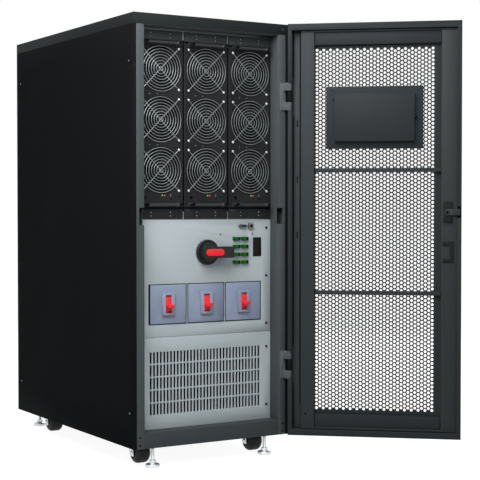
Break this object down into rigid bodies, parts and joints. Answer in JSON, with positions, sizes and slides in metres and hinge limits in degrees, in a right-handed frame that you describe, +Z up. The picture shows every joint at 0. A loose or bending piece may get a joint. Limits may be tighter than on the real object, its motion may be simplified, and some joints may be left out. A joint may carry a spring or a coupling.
{
  "type": "modular ups cabinet",
  "caption": "Floor-standing modular power supply cabinet with slide-in fan modules over a breaker and bypass switch panel, vented base and an open mesh door.",
  "frame": {"origin": "on the floor, under the middle of the cabinet body", "axes": "+X to the cabinet's right as seen from its front, +Y from front to back, +Z up"},
  "size_m": [0.8111, 1.0971, 1.147],
  "materials": {
    "frame_paint": "fine textured charcoal powder coat",
    "dark_paint": "fine textured near-black powder coat",
    "hinge_paint": "satin grey",
    "light_paint": "satin light blue-grey",
    "module_paint": "fine textured black",
    "zinc_sheet": "zinc plated",
    "guard_wire": "nickel plated wire",
    "bright_steel": "bright plated",
    "breaker_plastic": "satin blue-grey",
    "pale_plastic": "satin pale blue-grey",
    "red_plastic": "glossy red",
    "green_plastic": "satin green",
    "black_plastic": "satin black",
    "screen_glass": "dark display glass",
    "wheel_rubber": "black tread"
  },
  "bodies": {
    "cabinet": {"base_frame": "frame_paint", "front_sill": "frame_paint", "front_posts": "frame_paint", "rear_posts": "frame_paint", "side_panels": "dark_paint", "top_cover": "dark_paint", "shelf_rails": "zinc_sheet", "module_shelf": "zinc_sheet", "module_rails": "zinc_sheet", "panel_strips": "zinc_sheet", "rear_panel": "dark_paint", "switch_panel": "light_paint", "vent_panel": "light_paint", "cabinet_hinges": "hinge_paint", "breaker_bodies": "breaker_plastic", "breaker_frames": "pale_plastic", "rotary_base": "black_plastic", "terminal_blocks": "green_plastic", "control_ports": "black_plastic", "levelling_feet": "bright_steel", "caster_plates": "bright_steel"},
    "door": {"door_shell": "frame_paint", "door_mesh": "dark_paint", "door_stiles": "frame_paint", "door_rails": "frame_paint", "door_crossbars": "frame_paint", "door_hinges": "hinge_paint", "display_box": "dark_paint", "display_bezel": "black_plastic", "display_screen": "screen_glass", "lock_case": "frame_paint", "latch_clip": "frame_paint", "door_pull": "black_plastic"},
    "lock_tongue": {"lock_cam": "hinge_paint"},
    "bypass_handle": {"rotary_handle": "black_plastic", "rotary_grip": "red_plastic"},
    "power_module_1": {"module_1_case": "module_paint", "module_1_fans": "black_plastic", "module_1_guards": "guard_wire", "module_1_handles": "module_paint"},
    "power_module_2": {"module_2_case": "module_paint", "module_2_fans": "black_plastic", "module_2_guards": "guard_wire", "module_2_handles": "module_paint"},
    "power_module_3": {"module_3_case": "module_paint", "module_3_fans": "black_plastic", "module_3_guards": "guard_wire", "module_3_handles": "module_paint"},
    "toggle_1": {"breaker_toggle_1": "red_plastic"},
    "toggle_2": {"breaker_toggle_2": "red_plastic"},
    "toggle_3": {"breaker_toggle_3": "red_plastic"},
    "fork_front_left": {"caster_fork_front_left": "bright_steel"},
    "wheel_front_left": {"caster_wheel_front_left": "wheel_rubber"},
    "fork_front_right": {"caster_fork_front_right": "bright_steel"},
    "wheel_front_right": {"caster_wheel_front_right": "wheel_rubber"},
    "fork_rear_left": {"caster_fork_rear_left": "bright_steel"},
    "wheel_rear_left": {"caster_wheel_rear_left": "wheel_rubber"},
    "fork_rear_right": {"caster_fork_rear_right": "bright_steel"},
    "wheel_rear_right": {"caster_wheel_rear_right": "wheel_rubber"}
  },
  "joints": [
    {"name": "door_swing", "type": "hinge", "parent": "cabinet", "child": "door", "pos_m": [0.2245, -0.405, 0], "axis": [0, 0, 1], "range_deg": [-139.4, 5.6]},
    {"name": "lock_turn", "type": "hinge", "parent": "door", "child": "lock_tongue", "pos_m": [0.54085, -0.67746, 0.648], "axis": [0.6508, 0.7593, 0], "range_deg": [0, 90]},
    {"name": "module_1_slide", "type": "slide", "parent": "cabinet", "child": "power_module_1", "axis": [0, -1, 0], "range_m": [0, 0.6]},
    {"name": "module_2_slide", "type": "slide", "parent": "cabinet", "child": "power_module_2", "axis": [0, -1, 0], "range_m": [0, 0.6]},
    {"name": "module_3_slide", "type": "slide", "parent": "cabinet", "child": "power_module_3", "axis": [0, -1, 0], "range_m": [0, 0.6]},
    {"name": "toggle_1_throw", "type": "hinge", "parent": "cabinet", "child": "toggle_1", "pos_m": [-0.1135, -0.31827, 0.41175], "axis": [1, 0, 0], "range_deg": [-22, 12]},
    {"name": "toggle_2_throw", "type": "hinge", "parent": "cabinet", "child": "toggle_2", "pos_m": [0, -0.31827, 0.41175], "axis": [1, 0, 0], "range_deg": [-22, 12]},
    {"name": "toggle_3_throw", "type": "hinge", "parent": "cabinet", "child": "toggle_3", "pos_m": [0.1135, -0.31827, 0.41175], "axis": [1, 0, 0], "range_deg": [-22, 12]},
    {"name": "bypass_turn", "type": "hinge", "parent": "cabinet", "child": "bypass_handle", "pos_m": [0.002, -0.36, 0.5435], "axis": [0, -1, 0], "range_deg": [0, 90]},
    {"name": "swivel_front_left", "type": "hinge", "parent": "cabinet", "child": "fork_front_left", "pos_m": [-0.17, -0.28, 0.08], "axis": [0, 0, 1], "continuous": true},
    {"name": "roll_front_left", "type": "hinge", "parent": "fork_front_left", "child": "wheel_front_left", "pos_m": [-0.17, -0.304, 0.029], "axis": [1, 0, 0], "continuous": true},
    {"name": "swivel_front_right", "type": "hinge", "parent": "cabinet", "child": "fork_front_right", "pos_m": [0.17, -0.28, 0.08], "axis": [0, 0, 1], "continuous": true},
    {"name": "roll_front_right", "type": "hinge", "parent": "fork_front_right", "child": "wheel_front_right", "pos_m": [0.17, -0.304, 0.029], "axis": [1, 0, 0], "continuous": true},
    {"name": "swivel_rear_left", "type": "hinge", "parent": "cabinet", "child": "fork_rear_left", "pos_m": [-0.17, 0.28, 0.08], "axis": [0, 0, 1], "continuous": true},
    {"name": "roll_rear_left", "type": "hinge", "parent": "fork_rear_left", "child": "wheel_rear_left", "pos_m": [-0.17, 0.256, 0.029], "axis": [1, 0, 0], "continuous": true},
    {"name": "swivel_rear_right", "type": "hinge", "parent": "cabinet", "child": "fork_rear_right", "pos_m": [0.17, 0.28, 0.08], "axis": [0, 0, 1], "continuous": true},
    {"name": "roll_rear_right", "type": "hinge", "parent": "fork_rear_right", "child": "wheel_rear_right", "pos_m": [0.17, 0.256, 0.029], "axis": [1, 0, 0], "continuous": true}
  ]
}
